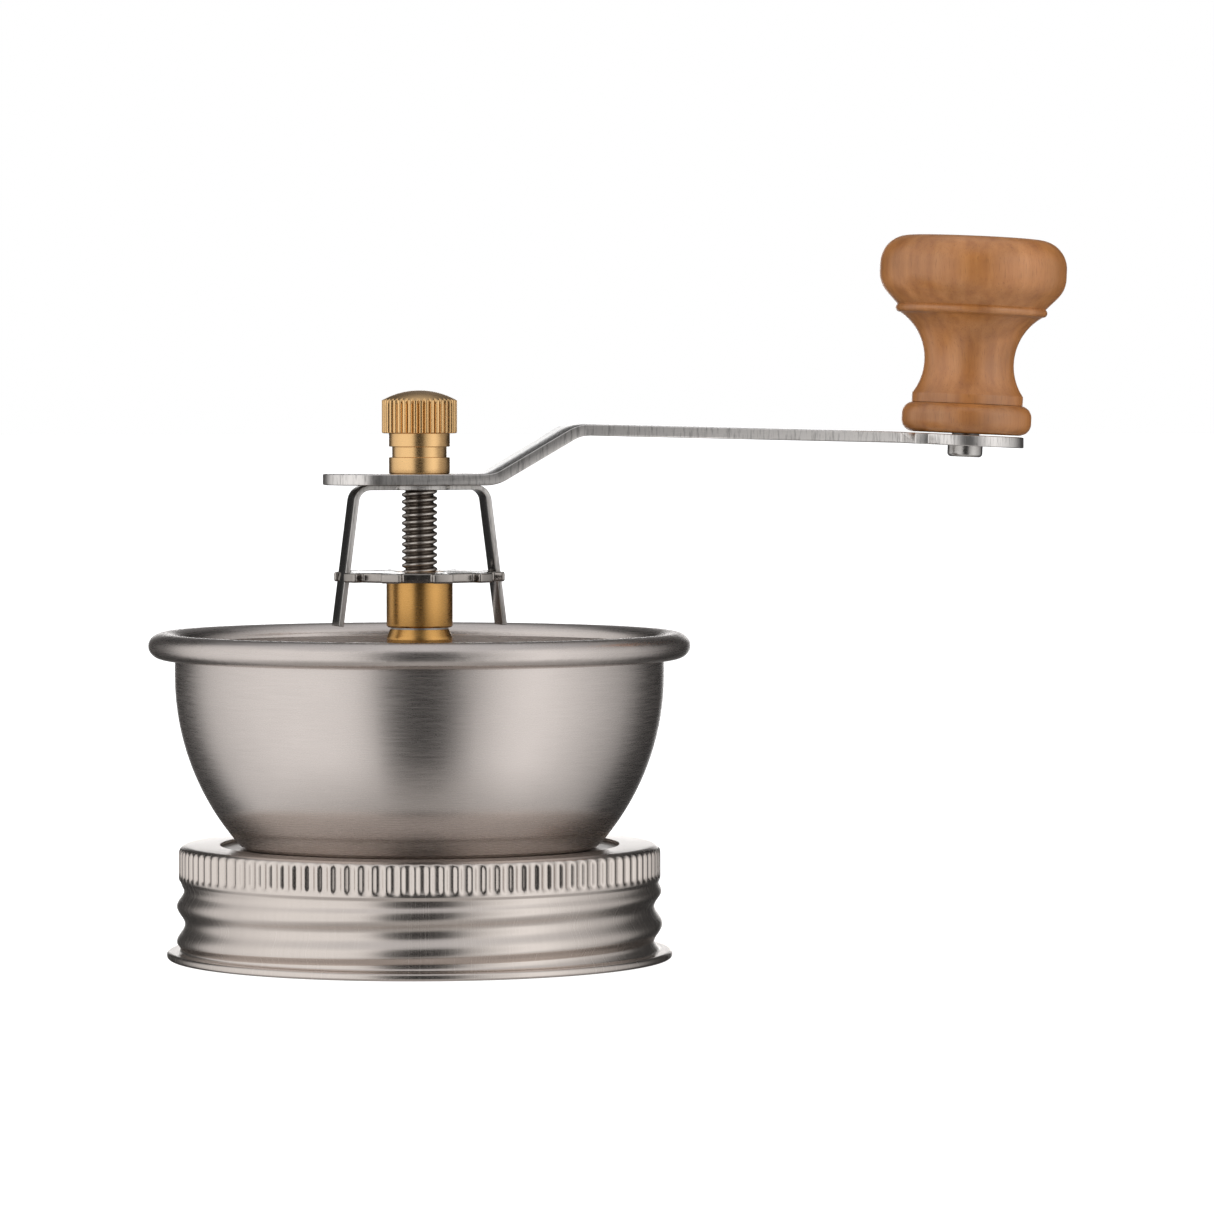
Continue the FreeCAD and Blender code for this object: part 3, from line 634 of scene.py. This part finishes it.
def spindle():
    """Spindle with its flats and a right-hand thread."""
    low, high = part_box("spindle")
    arm_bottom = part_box("crank_arm")[0].z
    clip_bottom = arm_bottom - clip_thickness
    flats_top = arm_bottom + arm_thickness - seat_gap
    cone_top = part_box("inner_burr")[1].z
    cone_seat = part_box("burr_washer")[1].z
    outline = [Vector((0, low.z)), Vector((stud_radius, low.z)), Vector((stud_radius, cone_seat))]
    seats = (cone_seat, cone_top, cone_top + 2 * tiny, spindle_thread_low)
    outline += [Vector((spindle_radius, height)) for height in seats]
    run = clip_bottom - spindle_thread_low
    steps = math.ceil(run / spindle_pitch * spindle_thread_rows)
    for step in range(1, steps + 1):
        outline.append(Vector((spindle_radius, spindle_thread_low + run * (step / steps))))
    outline += [Vector((spindle_radius, height)) for height in (clip_bottom + 2 * tiny, flats_top)]
    outline += [Vector((stud_radius, flats_top)), Vector((stud_radius, high.z)), Vector((0, high.z))]

    def shaped(angle, radius, height):
        if radius < spindle_radius - tiny:
            return radius, height
        if spindle_thread_low < height < clip_bottom - tiny:
            phase = height / spindle_pitch - angle / FULL_TURN
            fade = smooth_step(spindle_thread_low, spindle_thread_low + spindle_pitch, height)
            return radius - spindle_thread_depth * fade * (1 - thread_wave(phase)), height
        if height < cone_top + tiny or height > clip_bottom + tiny:
            return min(radius, spindle_flats / 2 / max(abs(math.sin(angle)), tiny)), height
        return radius, height

    mesh = mesh_of("spindle_threaded", [turned(outline, spindle_points, shaped)], sharp=50)
    add_piece("spindle_threaded", mesh, "spindle", finishes["dark_steel"])


def cap_nut():
    """Brass thumb nut: grooved neck, straight knurl and low dome."""
    low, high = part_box("cap_nut")
    rim = high.x
    bore = stud_radius + running_fit
    groove_low, groove_high = low.z + cap_groove_low, low.z + cap_groove_high
    shoulder = low.z + cap_body_height
    knurl_top = shoulder + cap_knurl_height
    dome = (rim ** 2 + cap_dome_height ** 2) / (2 * cap_dome_height)
    centre = high.z - dome
    outline = rounded([
        (0, high.z - cap_roof), (bore, high.z - cap_roof), (bore, low.z), (cap_radius, low.z, cap_chamfer),
        (cap_radius, groove_low, cap_edge), (cap_groove_radius, groove_low, cap_edge),
        (cap_groove_radius, groove_high, cap_edge), (cap_radius, groove_high, cap_edge),
        (cap_radius, shoulder, cap_edge), (rim, shoulder, cap_chamfer), (rim, knurl_top),
    ], step=0.5)
    outline = divided(outline, cap_step)
    reach = math.asin(rim / dome)
    for row in range(1, cap_dome_rows):
        lean = reach * (1 - row / cap_dome_rows)
        outline.append(Vector((dome * math.sin(lean), centre + dome * math.cos(lean))))
    outline.append(Vector((0, high.z)))

    def knurled(angle, radius, height):
        if height < shoulder + cap_edge:
            return radius, height
        across = abs((angle * cap_flute_count / FULL_TURN) % 1 - 0.5) * 2
        flute = cap_flute_depth * smooth_step(cap_flute_start, 1.0, across)
        return min(radius, rim - flute), height

    body = turned(outline, cap_flute_points * cap_flute_count, knurled)
    mesh = mesh_of("cap_nut_knurled", [body], sharp=50)
    add_piece("cap_nut_knurled", mesh, "cap_nut", finishes["cap_brass"])


def on_screw_circle(angle):
    """Shift from the middle to a place on the circle of the hopper's screws."""
    return Matrix.Translation((screw_circle * math.cos(angle), screw_circle * math.sin(angle), 0))


def hopper_screws():
    """Four pan-head screws with cross recesses and threads."""
    parts = []
    low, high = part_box("hopper_screws")
    for quarter in range(4):
        seat = high.z - screw_head_height - (strap_thickness if quarter % 2 else 0)
        end = low.z + (0 if quarter % 2 else strap_thickness)
        parts.append(one_screw(seat, end, math.radians(90 + 90 * quarter)))
    mesh = mesh_of("hopper_screws_cross", parts, sharp=35)
    add_piece("hopper_screws_cross", mesh, "hopper_screws", finishes["bright_steel"])


def one_screw(seat, end, angle):
    """Mesh data of a screw, from its head's seat to its end, at an angle on the screws' circle."""
    top = seat + screw_head_height
    head = rounded([
        (screw_radius, seat), (screw_head_radius, seat), (screw_head_radius, top, screw_head_round),
        (0, top),
    ], step=0.25)
    shank = [Vector((0, end)), Vector((screw_radius, end)), Vector((screw_radius, seat))]
    outline = divided(shank, screw_pitch / screw_thread_rows) + divided(head, screw_head_step)[1:]
    half_width, half_length = recess_width / 2, recess_length / 2

    def shaped(turn, radius, height):
        if height < seat:
            phase = height / screw_pitch - turn / FULL_TURN
            wave = thread_wave(phase) if radius >= screw_radius - tiny else 1.0
            return radius - screw_thread_depth * (1 - wave), height
        across = abs(radius * math.cos(turn))
        along = abs(radius * math.sin(turn))
        small, large = min(across, along), max(across, along)
        inside = 1 - smooth_step(half_width - recess_edge, half_width + recess_edge, small)
        inside *= 1 - smooth_step(half_length - recess_taper, half_length, large)
        return radius, height - (recess_depth * inside if height > seat + screw_head_height / 2 else 0)

    return turned(outline, screw_points, shaped, place=on_screw_circle(angle))


def hex_nut(bottom, top, size, bore, place=None):
    """Mesh data of a hexagonal nut whose corners are turned off by a steep cone."""
    flat = size / 2
    face = flat * nut_face_share
    half_side = math.pi / 6
    steepness = math.sqrt(3)
    edge = (flat / math.cos(half_side) - face) / steepness
    climb = [edge * row / nut_corner_rows for row in range(nut_corner_rows + 1)]
    rows = [bottom + rise for rise in climb] + [top - rise for rise in reversed(climb)]
    outline = [Vector((bore, bottom)), *[Vector((size, row)) for row in rows], Vector((bore, top))]

    def shaped(angle, radius, height):
        if radius < size - tiny:
            return radius, height
        side = (angle + half_side) % (2 * half_side) - half_side
        cone = face + min(height - bottom, top - height) * steepness
        return min(flat / math.cos(side), cone), height

    return turned(outline, nut_points, shaped, closed=True, place=place)


def nuts():
    """Nuts of the hopper's screws, of the bush and of the cone burr."""
    low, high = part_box("hopper_nuts")
    parts = []
    for quarter in range(4):
        place = on_screw_circle(math.radians(90 * quarter))
        parts.append(hex_nut(low.z, high.z, nut_size, screw_radius + running_fit, place))
    add_piece("hopper_nuts_hex", mesh_of("hopper_nuts_hex", parts, sharp=25), "hopper_nuts",
              finishes["bright_steel"])
    single = [
        ("bush_nut", bush_nut_size, bush_thread_radius + running_fit, finishes["turned_brass"]),
        ("burr_nut", burr_nut_size, stud_radius + running_fit, finishes["bright_steel"]),
    ]
    for node, size, bore, finish in single:
        low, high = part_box(node)
        mesh = mesh_of(node + "_hex", [hex_nut(low.z, high.z, size, bore)], sharp=25)
        add_piece(node + "_hex", mesh, node, finish)


def grip_knob():
    """Wooden knob turned about the axis that it spins on: foot, collar, cove, bead and bulb."""
    spin = next(joint for joint in record["behaviour"]["joints"] if joint["child"] == body_of["grip_knob"])
    axis, pivot = Vector(spin["axis"]), Vector(spin["pos_m"])
    levels = [(vert.co - pivot).dot(axis) for vert in frame["nodes"]["grip_knob"].data.vertices]
    base, top = min(levels), max(levels) - min(levels)
    cove_end = Vector((knob_cove_radius, knob_cove_height))
    cove = arc(Vector((knob_collar_radius, knob_collar_top)), Vector((knob_waist_radius, knob_waist_height)),
               cove_end, knob_cove_rows)
    bead = arc(cove_end, Vector((knob_bead_radius, knob_bead_height)),
               Vector((knob_bead_top_radius, knob_bead_top)), knob_bead_rows)
    outline = rounded([
        (knob_bore, 0), (knob_base_radius, 0, knob_base_round),
        (knob_base_radius, knob_base_height, knob_base_round), (knob_collar_radius, knob_base_height),
        (knob_collar_radius, knob_collar_top, knob_collar_round), *cove[1:], *bead[1:],
        (knob_bulb_radius, knob_bulb_corner, knob_bulb_round),
        (knob_bulb_radius, top - knob_crown, knob_bulb_round),
        (knob_well, top), (knob_well, knob_seat), (knob_bore, knob_seat),
    ], step=0.12)
    upright = Vector((0, 0, 1)).rotation_difference(axis).to_matrix().to_4x4()
    place = Matrix.Translation(pivot + axis * base) @ upright
    mesh = mesh_of("grip_knob_turned", [turned(outline, knob_points, closed=True, place=place)])
    add_piece("grip_knob_turned", mesh, "grip_knob", finishes["knob_wood"])


def burr_spring():
    """Coil spring that stretches between its turning seat and the cone burr."""
    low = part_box("inner_burr")[1].z + spring_wire + seat_gap
    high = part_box("spring_washer")[0].z - spring_wire - seat_gap
    rings, sides = spring_points * spring_turns, spring_wire_points
    verts, faces = [], []
    rise = (high - low) / spring_turns
    for step in range(rings + 1):
        angle = FULL_TURN * spring_turns * step / rings
        out = Vector((math.cos(angle), math.sin(angle), 0))
        along = Vector((-math.sin(angle), math.cos(angle), rise / (FULL_TURN * spring_radius))).normalized()
        centre = out * spring_radius + Vector((0, 0, low + (high - low) * step / rings))
        lift = out.cross(along)
        for side in range(sides):
            turn = FULL_TURN * side / sides
            verts.append(centre + (out * math.cos(turn) + lift * math.sin(turn)) * spring_wire)
    for step in range(rings):
        for side in range(sides):
            following = (side + 1) % sides
            faces.append([step * sides + side, step * sides + following,
                          (step + 1) * sides + following, (step + 1) * sides + side])
    faces.append(list(range(sides)))
    faces.append(list(range(rings * sides, (rings + 1) * sides)))
    mesh = mesh_of("burr_spring_coil", [(verts, faces)])
    piece = add_piece("burr_spring_coil", mesh, "burr_spring", finishes["spring_steel"], rides=False)
    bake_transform(piece)


def dress_nodes():
    """Gives every CAD node the finish of its material slot."""
    for node, thing in frame["nodes"].items():
        thing.data.materials.clear()
        thing.data.materials.append(finishes[slot_of[node]])


def floor():
    """Pale floor that the metal doesn't mirror."""
    level = cad_box[0].z - floor_gap
    corners = [(x * floor_half, y * floor_half, level) for x, y in ((-1, -1), (1, -1), (1, 1), (-1, 1))]
    mesh = bpy.data.meshes.new("floor")
    mesh.from_pydata(corners, [], [range(4)])
    plane = bpy.data.objects.new("floor", mesh)
    bpy.context.collection.objects.link(plane)
    finish = Finish("pale floor", Roughness=0.9, Specular_IOR_Level=0.1, Emission_Color=(1, 1, 1, 1))
    grain = finish.noise(finish.place(), scale=30.0, detail=2.0)
    finish.drive("Base Color", finish.ramp(grain, (0.3, 0.78), (0.7, 0.8)))
    seen = finish.node("LightPath").outputs["Is Camera Ray"]
    finish.drive("Emission Strength", finish.math("MULTIPLY", seen, floor_glow))
    mesh.materials.append(finish.material)
    plane.visible_glossy = False


def surroundings():
    """Studio for the metal to mirror: soft boxes left and right of a dark camera, and a backdrop behind."""
    world = bpy.data.worlds.new("studio")
    bpy.context.scene.world = world
    world.use_nodes = True
    studio = Shading(world.node_tree)
    turn = math.radians(camera_azimuth)
    direction = studio.node("TexCoord").outputs["Generated"]
    front = studio.node("VectorMath", {0: direction, 1: (math.sin(turn), -math.cos(turn), 0)},
                        operation="DOT_PRODUCT").outputs["Value"]
    right = studio.node("VectorMath", {0: direction, 1: (math.cos(turn), math.sin(turn), 0)},
                        operation="DOT_PRODUCT").outputs["Value"]
    angle = studio.math("ARCTAN2", right, front)
    share = studio.math("ADD", studio.math("DIVIDE", angle, FULL_TURN), 0.5)
    sides = studio.ramp(share, *[(0.5 + degrees / 360, level) for degrees, level in soft_boxes])
    height = studio.node("SeparateXYZ", {0: direction}).outputs["Z"]
    level = studio.math("ADD", studio.math("DIVIDE", height, 2.0), 0.5)
    below = studio.mixed(studio.ramp(level, *ground_share), sides, ground_colour)
    around = studio.mixed(studio.ramp(level, *ceiling_share), below, ceiling_colour)
    low = studio.ramp(level, *backdrop_rise)
    behind = studio.ramp(share, *[(0.5 + degrees / 360, reach) for degrees, reach in backdrop_reach])
    around = studio.mixed(studio.math("MULTIPLY", low, behind), around, backdrop_colour)
    seen = studio.mixed(studio.node("LightPath").outputs["Is Camera Ray"], around, (1.0, 1.0, 1.0))
    studio.tree.links.new(seen, studio.tree.nodes["Background"].inputs["Color"])


def lamps():
    """Soft light for matt surfaces, from the left, right and above."""
    centre = Vector((0.0, 0.0, 0.05))
    # Name, degrees to the right of the camera, degrees up, metres away, width and height, watts
    panels = [
        ("left box", -60, 10, 1.0, (1.2, 1.0), 8.0),
        ("right box", 60, 10, 1.0, (1.2, 1.0), 7.0),
        ("top box", 0, 80, 1.1, (1.2, 0.8), 2.0),
    ]
    for name, azimuth, height, distance, size, power in panels:
        light = bpy.data.lights.new(name, "AREA")
        light.shape = "RECTANGLE"
        light.size, light.size_y = size
        light.energy = power
        lamp = bpy.data.objects.new(name, light)
        lamp.visible_glossy = False
        turn = math.radians(azimuth + camera_azimuth)
        rise = math.radians(height)
        away = Vector((math.sin(turn) * math.cos(rise), -math.cos(turn) * math.cos(rise), math.sin(rise)))
        lamp.location = centre + away * distance
        lamp.rotation_euler = (-away).to_track_quat("-Z", "Y").to_euler()
        bpy.context.collection.objects.link(lamp)


def camera():
    """Camera that frames the part as the photograph does."""
    turn = math.radians(camera_azimuth)
    look = Vector((-math.sin(turn), math.cos(turn), 0))
    right = Vector((math.cos(turn), math.sin(turn), 0))
    aim = right * aim_sideways + Vector((0, 0, aim_height))
    data = bpy.data.cameras.new("camera")
    data.sensor_width = 36.0
    data.lens = data.sensor_width * focal_pixels / image_width
    data.clip_end = 100.0
    view = bpy.data.objects.new("camera", data)
    view.location = aim - look * camera_distance
    view.location.z = camera_height
    view.rotation_euler = (aim - view.location).to_track_quat("-Z", "Y").to_euler()
    bpy.context.collection.objects.link(view)
    bpy.context.scene.camera = view


dress_nodes()
screw_band()
spindle()
cap_nut()
hopper_screws()
nuts()
grip_knob()
burr_spring()
eased("crank_arm_bent", "crank_arm", arm_edge, finishes["crank_steel"])
eased("lock_clip_sprung", "lock_clip", clip_edge, finishes["clip_steel"])
eased("star_wheel_stamped", "star_wheel", wheel_edge, finishes["wheel_steel"])
eased("bearing_bridge_strap", "bearing_bridge", bridge_edge, finishes["bridge_steel"])
floor()
surroundings()
lamps()
camera()
bpy.context.scene.view_settings.view_transform = "Standard"
